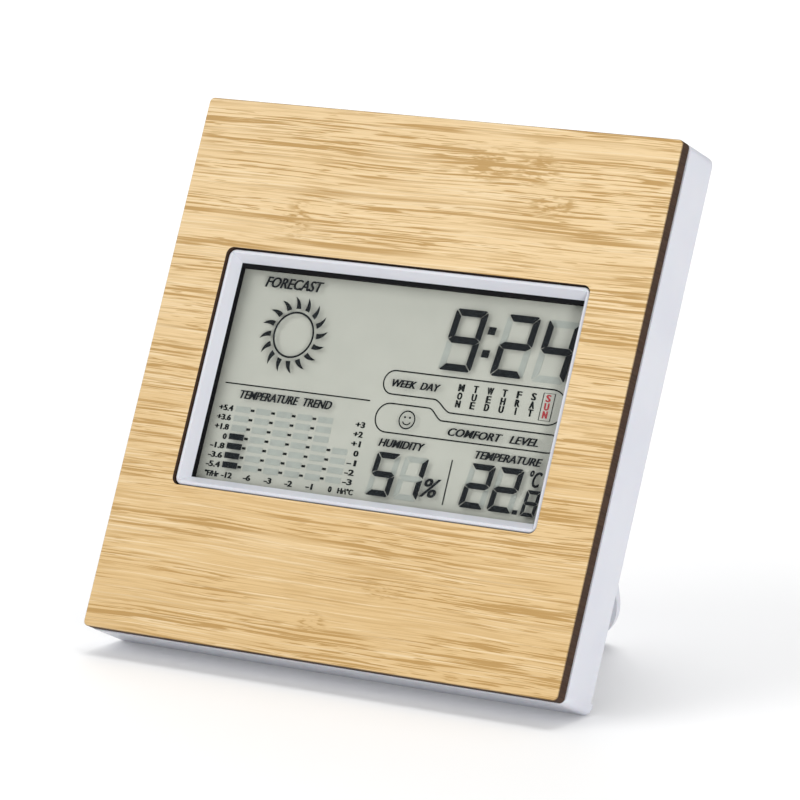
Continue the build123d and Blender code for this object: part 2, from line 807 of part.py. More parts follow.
# The sounder's leads run from its ceramic over the board's upper edge to their pads
lead_depth = ceramic_front - wire_radius
for label, side in (("sounder_wire_red", -1), ("sounder_wire_black", 1)):
    lead_x = sounder_x + side * lead_spread
    lead = wire([
        (lead_x, sounder_y, lead_depth),
        (lead_x, sounder_y - lead_glued, lead_depth - lead_lift),
        (lead_x, board_height / 2 + wire_radius, wire_depth + lead_rest),
        (lead_x, pad_y - lead_spread, wire_depth),
    ])
    save(lead, label)
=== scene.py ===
"""Desk weather station: bamboo face, recessed display, white case and fold-out stand."""

import json
from math import cos, pi, radians, sin, tan

import bmesh
import bpy
from mathutils import Matrix, Vector


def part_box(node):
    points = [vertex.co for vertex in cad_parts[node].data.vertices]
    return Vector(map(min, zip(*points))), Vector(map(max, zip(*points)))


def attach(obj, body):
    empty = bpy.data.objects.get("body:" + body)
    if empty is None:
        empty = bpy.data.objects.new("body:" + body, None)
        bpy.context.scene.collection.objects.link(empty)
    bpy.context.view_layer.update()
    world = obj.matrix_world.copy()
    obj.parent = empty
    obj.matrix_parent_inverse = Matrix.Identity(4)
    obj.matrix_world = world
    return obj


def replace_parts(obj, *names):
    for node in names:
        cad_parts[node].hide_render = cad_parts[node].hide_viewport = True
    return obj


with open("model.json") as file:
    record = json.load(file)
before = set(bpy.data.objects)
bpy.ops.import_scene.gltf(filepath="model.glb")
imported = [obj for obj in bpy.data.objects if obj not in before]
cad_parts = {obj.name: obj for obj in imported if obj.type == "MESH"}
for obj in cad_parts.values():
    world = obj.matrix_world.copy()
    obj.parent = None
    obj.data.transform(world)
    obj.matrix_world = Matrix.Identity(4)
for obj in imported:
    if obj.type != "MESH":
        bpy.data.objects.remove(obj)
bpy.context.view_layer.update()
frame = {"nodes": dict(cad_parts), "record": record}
scene = bpy.context.scene
scene.view_settings.view_transform = "Standard"

# The case leans back on its lower rear edge. Its own directions come from the mount on the underside and its
# middle from the bamboo sheet's box, so that what is placed by the face leans with it.
underside = frame["record"]["mounts"][0]["axis"]
face_up = -Vector(underside).normalized()
face_right = Vector((1, 0, 0))
face_out = face_right.cross(face_up)
sheet_low, sheet_high = (Vector(corner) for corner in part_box("bamboo_panel"))
sheet_size = sheet_high - sheet_low
sheet_thick = (sheet_size.y - sheet_size.x * face_up.y) / face_up.z
face_centre = (sheet_low + sheet_high) / 2 + face_out * sheet_thick / 2
mm = 0.001


# Camera: a long lens a little over a metre away, to the right of the face and a little above the desk. It
# aims just beside the middle of the face, so that the case and its leg sit evenly in the picture.
lens_azimuth = radians(33.08)
lens_elevation = radians(11.17)
lens_distance = 1.118
aim_shift = Vector((4.5, 2.3, -2.7)) * mm
camera = bpy.data.objects.new("camera", bpy.data.cameras.new("camera"))
scene.collection.objects.link(camera)
camera.data.sensor_width = 36
camera.data.lens = 227.95
camera.data.clip_start = 0.05
aim = face_centre + aim_shift
sight = Vector((sin(lens_azimuth), -cos(lens_azimuth), tan(lens_elevation))).normalized()
camera.location = aim + sight * lens_distance
camera.rotation_euler = sight.to_track_quat("Z", "Y").to_euler()
scene.camera = camera


# Studio: a wide pale floor, an even white surround and soft lights. The main light stands low on the right,
# so the display's segments throw their small shadows to the left.
def new_material(name):
    """An empty node material with its Principled shader."""
    material = bpy.data.materials.new(name)
    material.use_nodes = True
    return material, material.node_tree, material.node_tree.nodes["Principled BSDF"]


floor_mesh = bpy.data.meshes.new("floor")
floor_reach = 12
corner_signs = ((-1, -1), (1, -1), (1, 1), (-1, 1))
floor_mesh.from_pydata([(x * floor_reach, y * floor_reach, 0) for x, y in corner_signs], [], [(0, 1, 2, 3)])
floor = bpy.data.objects.new("floor", floor_mesh)
scene.collection.objects.link(floor)
floor_material, tree, shader = new_material("floor_paper")
shader.inputs["Base Color"].default_value = (0.95, 0.95, 0.95, 1)
shader.inputs["Roughness"].default_value = 0.9
shader.inputs["Specular IOR Level"].default_value = 0.1
floor_mesh.materials.append(floor_material)

scene.world = bpy.data.worlds.new("surround")
scene.world.use_nodes = True
surround = scene.world.node_tree.nodes["Background"]
surround.inputs["Color"].default_value = (1, 1, 1, 1)
surround.inputs["Strength"].default_value = 0.5


def soft_light(name, direction, distance, size, power):
    """A square area light that looks at the middle of the face."""
    light = bpy.data.objects.new(name, bpy.data.lights.new(name, "AREA"))
    light.data.size = size
    light.data.energy = power
    light.location = face_centre + Vector(direction).normalized() * distance
    light.rotation_euler = Vector(direction).to_track_quat("Z", "Y").to_euler()
    scene.collection.objects.link(light)


soft_light("main_light", (1.22, -1.03, 0.14), distance=1.2, size=0.22, power=6.5)
soft_light("fill_light", (-0.9, -1.1, 1.1), distance=1.3, size=0.8, power=5.0)
soft_light("back_light", (-0.8, 1.2, 0.8), distance=1.4, size=0.8, power=4.0)
overhead = bpy.data.objects.new("overhead_light", bpy.data.lights.new("overhead_light", "SUN"))
overhead.data.energy = 1.0
overhead.data.angle = radians(35)
overhead.rotation_euler = Vector((0, 0.25, 1)).to_track_quat("Z", "Y").to_euler()
scene.collection.objects.link(overhead)


# Bamboo face: a sheet of side-pressed bamboo, laser-cut with its window, sanded and sealed with thin varnish.
# Long fibres run across it and crowd at the culm's nodes, and the laser leaves every cut edge burnt brown.
def add_node(tree, kind, links=(), **settings):
    """A node with its settings and inputs; a link is (input, output socket) and a value is (input, value)."""
    node = tree.nodes.new(kind)
    for key, value in settings.items():
        setattr(node, key, value)
    for key, value in links:
        if isinstance(value, bpy.types.NodeSocket):
            tree.links.new(value, node.inputs[key])
        else:
            node.inputs[key].default_value = value
    return node


def face_position(tree):
    """Sockets that give x, y and the height above the face in millimetres."""
    place = add_node(tree, "ShaderNodeTexCoord").outputs["Object"]
    split = []
    for direction in (face_right, face_up, face_out):
        ends = [(0, place), (1, direction / mm)]
        reach = add_node(tree, "ShaderNodeVectorMath", ends, operation="DOT_PRODUCT").outputs["Value"]
        ends = [(0, reach), (1, -direction.dot(face_centre) / mm)]
        split.append(add_node(tree, "ShaderNodeMath", ends, operation="ADD").outputs[0])
    return split


def math(tree, operation, first, second=0.0, clamp=False):
    """One arithmetic step on sockets or numbers."""
    node = add_node(tree, "ShaderNodeMath", [(0, first), (1, second)], operation=operation)
    node.use_clamp = clamp
    return node.outputs[0]


def stretched_noise(tree, x, y, length, height, detail=2.0, seed=0.0):
    """Noise whose blots are about this long and this high, in millimetres."""
    across = math(tree, "DIVIDE", x, length)
    along = math(tree, "DIVIDE", y, height)
    place = add_node(tree, "ShaderNodeCombineXYZ", [("X", across), ("Y", along), ("Z", seed)]).outputs[0]
    noise = add_node(tree, "ShaderNodeTexNoise", [("Vector", place), ("Scale", 1.0), ("Detail", detail)])
    return noise.outputs["Fac"]


def ramp(tree, value, low, high):
    """Smooth step of a value from low to high."""
    ends = [("Value", value), ("From Min", low), ("From Max", high)]
    node = add_node(tree, "ShaderNodeMapRange", ends, interpolation_type="SMOOTHSTEP")
    return node.outputs["Result"]


def blend_colours(tree, factor, first, second, mode="MIX"):
    """Colour mix; each colour is a socket or an RGBA value."""
    node = add_node(tree, "ShaderNodeMix", data_type="RGBA", blend_type=mode)
    for key, value in ((0, factor), (6, first), (7, second)):
        if isinstance(value, bpy.types.NodeSocket):
            tree.links.new(value, node.inputs[key])
        else:
            node.inputs[key].default_value = value
    return node.outputs[2]


def new_group(name, inputs, outputs):
    """A shader group with named sockets; inputs give their default values."""
    tree = bpy.data.node_groups.new(name, "ShaderNodeTree")
    kinds = {float: "NodeSocketFloat", tuple: "NodeSocketColor"}
    for label, default in inputs.items():
        socket = tree.interface.new_socket(label, in_out="INPUT", socket_type=kinds[type(default)])
        socket.default_value = default
    for label, kind in outputs.items():
        tree.interface.new_socket(label, in_out="OUTPUT", socket_type=kind)
    return tree, tree.nodes.new("NodeGroupInput").outputs, tree.nodes.new("NodeGroupOutput").inputs


bamboo_tree, given, result = new_group(
    "bamboo_fibres",
    {
        "Pale": (0.73, 0.54, 0.295, 1.0), "Warm": (0.655, 0.455, 0.215, 1.0),
        "Fibre": (0.42, 0.245, 0.07, 1.0), "Sheen": (0.80, 0.655, 0.43, 1.0), "Fibre Strength": 0.9,
    },
    {"Color": "NodeSocketColor", "Roughness": "NodeSocketFloat", "Height": "NodeSocketFloat"},
)
x, y, _ = face_position(bamboo_tree)

# slow and quick bends of the fibres: their length, height and swing in millimetres, and the noise's seed
bent = y
for length, height, swing, seed in ((60.0, 30.0, 2.4, 3.1), (12.0, 6.0, 0.2, 8.4)):
    sway = stretched_noise(bamboo_tree, x, y, length, height, detail=1.0, seed=seed)
    sway = math(bamboo_tree, "MULTIPLY", math(bamboo_tree, "SUBTRACT", sway, 0.5), swing)
    bent = math(bamboo_tree, "ADD", bent, sway)

# where the culm's nodes cross the strips: middle and half size, in millimetres
knots = ((-31, 36, 5, 6), (15, 53, 9, 5), (34, 45, 8, 3), (13, -45, 6, 2), (-3, -54, 5, 3), (28, 53, 8, 5))
knot_mask = None
for knot_x, knot_y, half_long, half_high in knots:
    away_x = math(bamboo_tree, "DIVIDE", math(bamboo_tree, "SUBTRACT", x, knot_x), half_long)
    away_y = math(bamboo_tree, "DIVIDE", math(bamboo_tree, "SUBTRACT", y, knot_y), half_high)
    away_x = math(bamboo_tree, "MULTIPLY", away_x, away_x)
    away_y = math(bamboo_tree, "MULTIPLY", away_y, away_y)
    near = ramp(bamboo_tree, math(bamboo_tree, "ADD", away_x, away_y), 1.0, 0.1)
    knot_mask = near if knot_mask is None else math(bamboo_tree, "MAXIMUM", knot_mask, near)

# fibre bundles of four sizes: their length and height in millimetres, the noise's seed, where it turns dark
# and how strongly; they crowd together in some strips and thin out in others
strips = stretched_noise(bamboo_tree, x, bent, 45.0, 4.0, seed=6.6)
crowding = ramp(bamboo_tree, strips, 0.36, 0.62)
bundles = (
    (75.0, 0.70, 2.3, 0.585, 0.645, 0.9), (34.0, 0.55, 9.6, 0.59, 0.65, 1.0),
    (17.0, 0.45, 7.9, 0.59, 0.66, 0.9), (8.0, 0.36, 4.9, 0.60, 0.68, 0.8),
)
fibre = None
for length, height, seed, start, full, weight in bundles:
    streaks = stretched_noise(bamboo_tree, x, bent, length, height, detail=1.0, seed=seed)
    mask = ramp(bamboo_tree, streaks, start, full)
    mask = math(bamboo_tree, "MULTIPLY", mask, weight)
    fibre = mask if fibre is None else math(bamboo_tree, "MAXIMUM", fibre, mask)
fibre = math(bamboo_tree, "MULTIPLY", fibre, math(bamboo_tree, "ADD", crowding, 0.25))
knot_fibres = stretched_noise(bamboo_tree, x, bent, 3.0, 0.6, seed=4.4)
in_knot = math(bamboo_tree, "MULTIPLY", ramp(bamboo_tree, knot_fibres, 0.45, 0.62), knot_mask)
fibre = math(bamboo_tree, "MAXIMUM", fibre, math(bamboo_tree, "MULTIPLY", in_knot, 0.9))
fine = stretched_noise(bamboo_tree, x, bent, 30.0, 0.2, seed=5.2)
fine_mask = math(bamboo_tree, "MULTIPLY", ramp(bamboo_tree, fine, 0.4, 0.72), 0.28)
fibre = math(bamboo_tree, "ADD", fibre, fine_mask, clamp=True)
glints = stretched_noise(bamboo_tree, x, bent, 28.0, 0.4, seed=12.3)
shine = math(bamboo_tree, "MULTIPLY", ramp(bamboo_tree, glints, 0.52, 0.66), 0.5)
bands = stretched_noise(bamboo_tree, x, bent, 120.0, 7.0, detail=1.0, seed=1.7)
# painted shade: the face's tone moves towards the warmer, darker colour the lower it lies, on top of the slow
# random bands
bottom_shade = math(bamboo_tree, "MULTIPLY", y, -0.006)
toned = ramp(bamboo_tree, math(bamboo_tree, "ADD", bands, bottom_shade), 0.3, 0.75)
flesh = blend_colours(bamboo_tree, toned, given["Pale"], given["Warm"])
flesh = blend_colours(bamboo_tree, shine, flesh, given["Sheen"])
strength = math(bamboo_tree, "MULTIPLY", fibre, given["Fibre Strength"])
bamboo_tree.links.new(blend_colours(bamboo_tree, strength, flesh, given["Fibre"]), result["Color"])
roughened = math(bamboo_tree, "ADD", math(bamboo_tree, "MULTIPLY", fibre, 0.14), 0.42)
bamboo_tree.links.new(roughened, result["Roughness"])
bamboo_tree.links.new(math(bamboo_tree, "SUBTRACT", fine, fibre), result["Height"])

bamboo, tree, shader = new_material("bamboo")
grain = add_node(tree, "ShaderNodeGroup", node_tree=bamboo_tree)
ends = [(0, add_node(tree, "ShaderNodeNewGeometry").outputs["Normal"]), (1, face_out)]
facing = add_node(tree, "ShaderNodeVectorMath", ends, operation="DOT_PRODUCT")
cut_edge = ramp(tree, facing.outputs["Value"], 0.9, 0.55)
x, y, rise = face_position(tree)
scorch = stretched_noise(tree, math(tree, "ADD", x, y), rise, 0.5, 6.0, detail=3.0)
burnt = blend_colours(tree, scorch, (0.012, 0.007, 0.005, 1), (0.085, 0.042, 0.022, 1))
tree.links.new(blend_colours(tree, cut_edge, grain.outputs["Color"], burnt), shader.inputs["Base Color"])
edge_rough = math(tree, "MULTIPLY", cut_edge, 0.4)
rough = math(tree, "ADD", grain.outputs["Roughness"], edge_rough, clamp=True)
tree.links.new(rough, shader.inputs["Roughness"])
relief = [("Height", grain.outputs["Height"]), ("Strength", 0.12), ("Distance", 0.00012)]
bump = add_node(tree, "ShaderNodeBump", relief)
tree.links.new(bump.outputs["Normal"], shader.inputs["Normal"])
shader.inputs["Specular IOR Level"].default_value = 0.35


def dress(node_name, material):
    """Give a CAD node its finish."""
    slots = frame["nodes"][node_name].data.materials
    for index in range(len(slots)):
        slots[index] = material
    if not slots:
        slots.append(material)


dress("bamboo_panel", bamboo)


# White ABS shell: front case with the bezel collar, back cover, battery door and stand leg, all moulded from
# the same glossy-satin plastic. The tool's spark-eroded surface leaves a fine grain and a little unevenness.
mould_tree, given, result = new_group(
    "moulded_plastic",
    {"Colour": (0.8, 0.8, 0.8, 1.0), "Grain": 0.35, "Gloss": 0.35},
    {"Color": "NodeSocketColor", "Roughness": "NodeSocketFloat", "Height": "NodeSocketFloat"},
)
place = add_node(mould_tree, "ShaderNodeTexCoord").outputs["Object"]
specks = add_node(mould_tree, "ShaderNodeTexNoise", [("Vector", place), ("Scale", 3200.0), ("Detail", 2.0)])
clouds = add_node(mould_tree, "ShaderNodeTexNoise", [("Vector", place), ("Scale", 60.0), ("Detail", 3.0)])
tone = ramp(mould_tree, clouds.outputs["Fac"], 0.3, 0.75)
shaded = blend_colours(mould_tree, 1.0, given["Colour"], (0.95, 0.955, 0.97, 1), mode="MULTIPLY")
mould_tree.links.new(blend_colours(mould_tree, tone, given["Colour"], shaded), result["Color"])
patchy = math(mould_tree, "MULTIPLY", math(mould_tree, "SUBTRACT", clouds.outputs["Fac"], 0.5), 0.16)
mould_tree.links.new(math(mould_tree, "ADD", given["Gloss"], patchy), result["Roughness"])
mould_tree.links.new(math(mould_tree, "MULTIPLY", specks.outputs["Fac"], given["Grain"]), result["Height"])


def moulded(name, colour, gloss=0.35, grain=0.35, depth=0.00004):
    """Plastic or rubber from the moulded group."""
    material, tree, shader = new_material(name)
    skin = add_node(tree, "ShaderNodeGroup", node_tree=mould_tree)
    skin.inputs["Colour"].default_value = (*colour, 1)
    skin.inputs["Gloss"].default_value = gloss
    skin.inputs["Grain"].default_value = grain
    relief = [("Height", skin.outputs["Height"]), ("Strength", 0.35), ("Distance", depth)]
    bump = add_node(tree, "ShaderNodeBump", relief)
    for output, socket in (("Color", "Base Color"), ("Roughness", "Roughness")):
        tree.links.new(skin.outputs[output], shader.inputs[socket])
    tree.links.new(bump.outputs["Normal"], shader.inputs["Normal"])
    return material, shader


white_abs, shader = moulded("white_abs", (0.65, 0.66, 0.71))
shader.inputs["Subsurface Weight"].default_value = 0.08
shader.inputs["Subsurface Scale"].default_value = 0.001
for name in ("front_case", "back_cover", "battery_door", "stand_leg"):
    dress(name, white_abs)

foam, shader = moulded("black_foam", (0.006, 0.006, 0.007), gloss=0.85, grain=1.0, depth=0.0001)
shader.inputs["Specular IOR Level"].default_value = 0.1
dress("lcd_gasket", foam)
dress("panel_tape", foam)


# Display: two panes of glass with liquid crystal between them, a matt polariser on the front and a grey-green
# reflector film behind. The clear pieces tint what lies behind them only a little. Light passes them all
# twice on its way to the reflector and back, so it is let through more surfaces than usual.
scene.cycles.transparent_max_bounces = 32

reflector, tree, shader = new_material("reflector_film")
x, y, _ = face_position(tree)
mottle = stretched_noise(tree, x, y, 9.0, 7.0, detail=4.0, seed=2.2)
sparkle = stretched_noise(tree, x, y, 0.12, 0.12, detail=1.0, seed=5.5)
shade = ramp(tree, math(tree, "ADD", mottle, math(tree, "MULTIPLY", sparkle, 0.5)), 0.45, 1.05)
film_colour = blend_colours(tree, shade, (0.493, 0.505, 0.446, 1), (0.528, 0.540, 0.478, 1))
tree.links.new(film_colour, shader.inputs["Base Color"])
rough = math(tree, "ADD", math(tree, "MULTIPLY", sparkle, 0.2), 0.5)
tree.links.new(rough, shader.inputs["Roughness"])
shader.inputs["Specular IOR Level"].default_value = 0.2
dress("reflector_film", reflector)


# What the display shows: the switched-on segments lie near the front of the glass and throw a shadow on the
# reflector, while the frames, day names and scales that never change are printed near its back. Faint unlit
# segments show there as well. All are thin closed solids, placed in the face's millimetres.
face_axes = Matrix((face_right, face_up, face_out)).transposed()


def face_point(x, y, depth):
    """A place x mm right and y mm up from the middle of the face, depth mm behind it."""
    return face_centre + face_axes @ Vector((x, y, -depth)) * mm


def depth_of(node_name):
    """How far behind the face a thin sheet lies, in millimetres."""
    low, high = (Vector(corner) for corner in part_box(node_name))
    return (face_centre - (low + high) / 2).dot(face_out) / mm


polariser_depth = depth_of("front_polariser")
segment_offset = 0.2
segment_shift = 0.14
print_offset = 0.15
print_depth = depth_of("reflector_film") - print_offset
print_shift = -0.42
ink_thick = 0.04


class Drawing:
    """Flat shapes gathered into one mesh, all at one depth behind the face."""

    def __init__(self, depth, shift=0.0, thick=ink_thick):
        self.depth = depth
        self.shift = shift
        self.thick = thick
        self.points = []
        self.faces = []

    def place(self, x, y, level):
        """Add a point; the level runs from 0 at the front of the shape to 1 at its back."""
        self.points.append(face_point(x + self.shift, y, self.depth + (level - 0.5) * self.thick))

    def plate(self, outline):
        """Closed flat shape inside an outline."""
        first = len(self.points)
        count = len(outline)
        for level in (0, 1):
            for x, y in outline:
                self.place(x, y, level)
        self.faces.append([first + index for index in range(count)])
        self.faces.append([first + count + index for index in reversed(range(count))])
        for index in range(count):
            here = first + index
            there = first + (index + 1) % count
            self.faces.append([here, here + count, there + count, there])

    def ribbon(self, route, width, closed=False):
        """Line of even width along a route of points."""
        first = len(self.points)
        count = len(route)
        for index in range(count):
            before = Vector(route[index - 1 if closed or index else 0])
            after = Vector(route[(index + 1) % count if closed else min(index + 1, count - 1)])
            across = (after - before).normalized().orthogonal() * width / 2
            for sign, level in ((-1, 0), (1, 0), (1, 1), (-1, 1)):
                edge = Vector(route[index]) + sign * across
                self.place(edge.x, edge.y, level)
        for index in range(count if closed else count - 1):
            here = first + 4 * index
            there = first + 4 * ((index + 1) % count)
            for side in range(4):
                following = (side + 1) % 4
                self.faces.append([here + side, here + following, there + following, there + side])
        if not closed:
            last = first + 4 * (count - 1)
            self.faces.append([first + side for side in range(4)])
            self.faces.append([last + side for side in reversed(range(4))])

    def words(self, text, left, right, bottom, top, slant=0.0, weight=0.0, double=0.0):
        """Words in the built-in font, fitted to a box; a box with left beyond right reads from behind.

        A double strike this wide makes them bolder without closing up the letters.
        """
        curve = bpy.data.curves.new("words", "FONT")
        curve.body = text
        curve.shear = slant
        curve.offset = weight
        curve.extrude = 0.1
        curve.resolution_u = 3
        carrier = bpy.data.objects.new("words", curve)
        outline = bpy.data.meshes.new_from_object(carrier)
        corners = [vertex.co for vertex in outline.vertices]
        low = Vector([min(corner[axis] for corner in corners) for axis in range(3)])
        high = Vector([max(corner[axis] for corner in corners) for axis in range(3)])
        strike_gap = 1.1
        for strike in (-0.5, 0.5) if double else (0,):
            first = len(self.points)
            start = left + strike * double
            for corner in corners:
                share = [(corner[axis] - low[axis]) / (high[axis] - low[axis]) for axis in range(3)]
                level = strike_gap * strike + 1 - share[2]
                self.place(start + (right - left) * share[0], bottom + (top - bottom) * share[1], level)
            self.faces.extend([first + index for index in face.vertices] for face in outline.polygons)
        bpy.data.objects.remove(carrier)
        bpy.data.curves.remove(curve)
        bpy.data.meshes.remove(outline)

    def finish(self, name, body, material, slot):
        """Make the object, weld the words' loose edges and fix it to its body."""
        mesh = bpy.data.meshes.new(name)
        mesh.from_pydata(self.points, [], self.faces)
        shape = bmesh.new()
        shape.from_mesh(mesh)
        bmesh.ops.remove_doubles(shape, verts=shape.verts, dist=1e-7)
        bmesh.ops.recalc_face_normals(shape, faces=shape.faces)
        shape.to_mesh(mesh)
        shape.free()
        mesh.materials.append(material)
        piece = bpy.data.objects.new(name, mesh)
        scene.collection.objects.link(piece)
        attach(piece, body)
        return piece


def clear_sheet(name, colour, roughness, alpha):
    """Thin clear material that lets nearly all the light through."""
    material, shader = moulded(name, colour, gloss=roughness, grain=0.1)
    shader.inputs["Alpha"].default_value = alpha
    return material


dress("front_polariser", clear_sheet("polariser_film", (0.10, 0.11, 0.11), 0.30, 0.025))

# the two panes, each a hair thinner than its place so that no clear face lies on another
pane_glass = clear_sheet("display_glass", (0.08, 0.12, 0.10), 0.12, 0.012)
pane_thick = 0.55
pane_offset = 0.35
pane_gap = 0.02
pane_half_width = 49.0
pane_rise = 0.2
front_pane_half = 29.0
rear_pane_half = 26.6
front_pane_depth = polariser_depth + pane_offset
rear_pane_depth = front_pane_depth + pane_thick
left = -pane_half_width
right = pane_half_width
for pane_name, half_height, depth in (
    ("front_pane", front_pane_half, front_pane_depth), ("rear_pane", rear_pane_half, rear_pane_depth),
):
    pane = Drawing(depth, thick=pane_thick - 2 * pane_gap)
    bottom = pane_rise - half_height
    top = pane_rise + half_height
    pane.plate([(left, bottom), (right, bottom), (right, top), (left, top)])
    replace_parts(pane.finish(pane_name, "housing", pane_glass, "lcd_glass"), "lcd_glass")


def arc(centre_x, centre_y, radius, start, end, steps=16):
    """Points along an arc; the angles are degrees."""
    angles = [radians(start + (end - start) * step / steps) for step in range(steps + 1)]
    return [(centre_x + radius * cos(angle), centre_y + radius * sin(angle)) for angle in angles]


def slide_curve(x0, y0, x1, y1, steps=10):
    """Points along an S-shaped step from one level to another."""
    shares = [step / steps for step in range(1, steps)]
    return [(x0 + (x1 - x0) * share, y0 + (y1 - y0) * share * share * (3 - 2 * share)) for share in shares]


lit_segments = {"1": "bc", "2": "abged", "4": "fgbc", "5": "afgcd", "8": "abcdefg", "9": "abcdfg"}


def segment_outlines(width, height, thick, gap):
    """Outlines of a seven-segment digit's bars, with mitred ends and blunted outer corners."""
    half = height / 2
    blunt = thick * 0.14
    corner = gap + 2.4 * blunt
    point = gap + 0.7 * thick
    top = [
        (gap + blunt, height - blunt), (corner, height), (width - corner, height),
        (width - gap - blunt, height - blunt), (width - gap - thick, height - thick),
        (gap + thick, height - thick),
    ]
    upper_left = [
        (0, half + gap), (0, height - corner), (blunt, height - gap - blunt),
        (thick, height - gap - thick), (thick, half + thick / 2 + gap),
    ]
    middle = [
        (gap, half), (point, half + thick / 2), (width - point, half + thick / 2),
        (width - gap, half), (width - point, half - thick / 2), (point, half - thick / 2),
    ]

    def turned(outline, flip_x, flip_y):
        """The same bar on the other side of the digit."""
        return [(width - x if flip_x else x, height - y if flip_y else y) for x, y in outline]

    return {
        "a": top, "b": turned(upper_left, True, False), "c": turned(upper_left, True, True),
        "d": turned(top, False, True), "e": turned(upper_left, False, True), "f": upper_left, "g": middle,
    }


digit_slant = 0.105
lit = Drawing(polariser_depth + segment_offset, segment_shift)
unlit = Drawing(print_depth, print_shift)


def show_digit(figure, left, baseline, width, height, thick, gap=0.16):
    """One seven-segment digit: its lit bars are dark and the others faint."""
    for letter, outline in segment_outlines(width, height, thick, gap).items():
        leaning = [(left + x + y * digit_slant, baseline + y) for x, y in outline]
        drawing = lit if letter in lit_segments[figure] else unlit
        drawing.plate(leaning)


def box_outline(left, right, bottom, top, slant=0.0):
    """Outline of a box that leans with the digits."""
    lean = (top - bottom) * slant
    return [(left, bottom), (right, bottom), (right + lean, top), (left + lean, top)]


# the time with its colon, the humidity and the temperature with its point
for figure, left in (("9", 10.9), ("2", 24.3), ("4", 34.9)):
    show_digit(figure, left, 6.8, width=8.4, height=14.2, thick=1.6)
for left, bottom in ((21.45, 15.85), (21.1, 10.6)):
    lit.plate(box_outline(left, left + 1.9, bottom, bottom + 1.75, digit_slant))
for figure, left in (("5", -0.4), ("1", 6.9)):
    show_digit(figure, left, -23.2, width=6.2, height=10.0, thick=1.35)
for left in (24.0, 31.3):
    show_digit("2", left, -23.1, width=6.4, height=10.1, thick=1.35)
show_digit("8", 39.8, -23.2, width=3.7, height=5.9, thick=0.85, gap=0.1)
lit.plate(box_outline(37.8, 39.1, -23.1, -22.1, digit_slant))

# captions and signs: left, right, bottom and top
captions = {
    "FORECAST": (-39.2, -23.7, 20.9, 23.4), "TEMPERATURE  TREND": (-38.9, -14.2, -5.35, -3.4),
    "WEEK  DAY": (0.2, 12.7, 1.7, 3.4), "COMFORT   LEVEL": (17.3, 40.5, -7.7, -5.9),
    "HUMIDITY": (0.3, 12.2, -12.0, -10.2), "TEMPERATURE": (25.5, 42.5, -12.0, -10.2),
    "%": (13.7, 18.4, -22.0, -17.7), "\u00b0C": (40.3, 43.3, -16.7, -12.9),
}
for text, place in captions.items():
    lit.words(text, *place, slant=0.28, weight=0.01, double=0.16)

# weather symbol: a ring with curved rays round it
sun_x = -28.6
sun_y = 10.6
sun_radius = 5.2
ray_root = 6.1
ray_length = 2.9
ray_count = 16
lit.ribbon(arc(sun_x, sun_y, sun_radius, 0, 360, 64)[:-1], 0.46, closed=True)
for ray in range(ray_count):
    middle = 360 * (ray + 0.1) / ray_count
    sides = ([], [])
    for step in range(7):
        share = step / 6
        radius = ray_root + ray_length * share
        half_turn = 6.0 * (1 - share) ** 0.8
        bend = 8.0 * share * share
        for side, sign in zip(sides, (-1, 1)):
            angle = radians(middle + bend + sign * half_turn)
            side.append((sun_x + radius * cos(angle), sun_y + radius * sin(angle)))
    lit.plate(sides[0] + sides[1][-2::-1])

# comfort face
smile_x = 6.1
smile_y = -5.4
lit.ribbon(arc(smile_x, smile_y, 2.0, 0, 360, 40)[:-1], 0.3, closed=True)
lit.ribbon(arc(smile_x, smile_y, 1.1, 205, 335, 12), 0.26)
for eye_x in (smile_x - 0.65, smile_x + 0.65):
    lit.plate(arc(eye_x, smile_y + 0.55, 0.26, 0, 360, 12)[:-1])

# trend chart: a column of bars for each reading, the first column lit up to the middle row
printed = Drawing(print_depth, print_shift)
row_top = -7.67
row_pitch = 2.193
column_left = -39.3
column_pitch = 5.59
bar_length = 4.0
bar_height = 1.4
tick_offset = 4.1
tick_length = 1.0
tick_height = 0.54
figure_half = 0.68
left_figures = ("+5.4", "+3.6", "+1.8", "0", "-1.8", "-3.6", "-5.4")
right_figures = ("+3", "+2", "+1", "0", "-1", "-2", "-3")
for row, (left_figure, right_figure) in enumerate(zip(left_figures, right_figures)):
    y = row_top - row * row_pitch
    short_row = row < 3
    for column in range(5 if short_row else 6):
        x = column_left + column * column_pitch
        drawing = lit if column == 0 and not short_row else unlit
        drawing.plate(box_outline(x, x + bar_length, y - bar_height / 2, y + bar_height / 2))
    for column in range(4 if short_row else 5):
        x = column_left + column * column_pitch + tick_offset
        printed.plate(box_outline(x, x + tick_length, y - tick_height / 2, y + tick_height / 2))
    for figure, right, figure_width in ((left_figure, -40.05, 0.93), (right_figure, -4.4, 1.2)):
        left = right - figure_width * len(figure)
        printed.words(figure, left, right, y - figure_half, y + figure_half, weight=0.02, double=0.14)
foot = -23.0
hours = {
    "-12": (-39.0, -36.2), "-6": (-33.0, -31.1), "-3": (-27.3, -25.4), "-2": (-21.7, -19.8),
    "-1": (-16.0, -14.3), "0": (-10.0, -9.2), "\u00b0F/Hr": (-43.6, -39.7), "Hr\\\u00b0C": (-7.5, -3.5),
}
for figure, (left, right) in hours.items():
    printed.words(figure, left, right, foot - figure_half, foot + figure_half, weight=0.02, double=0.14)

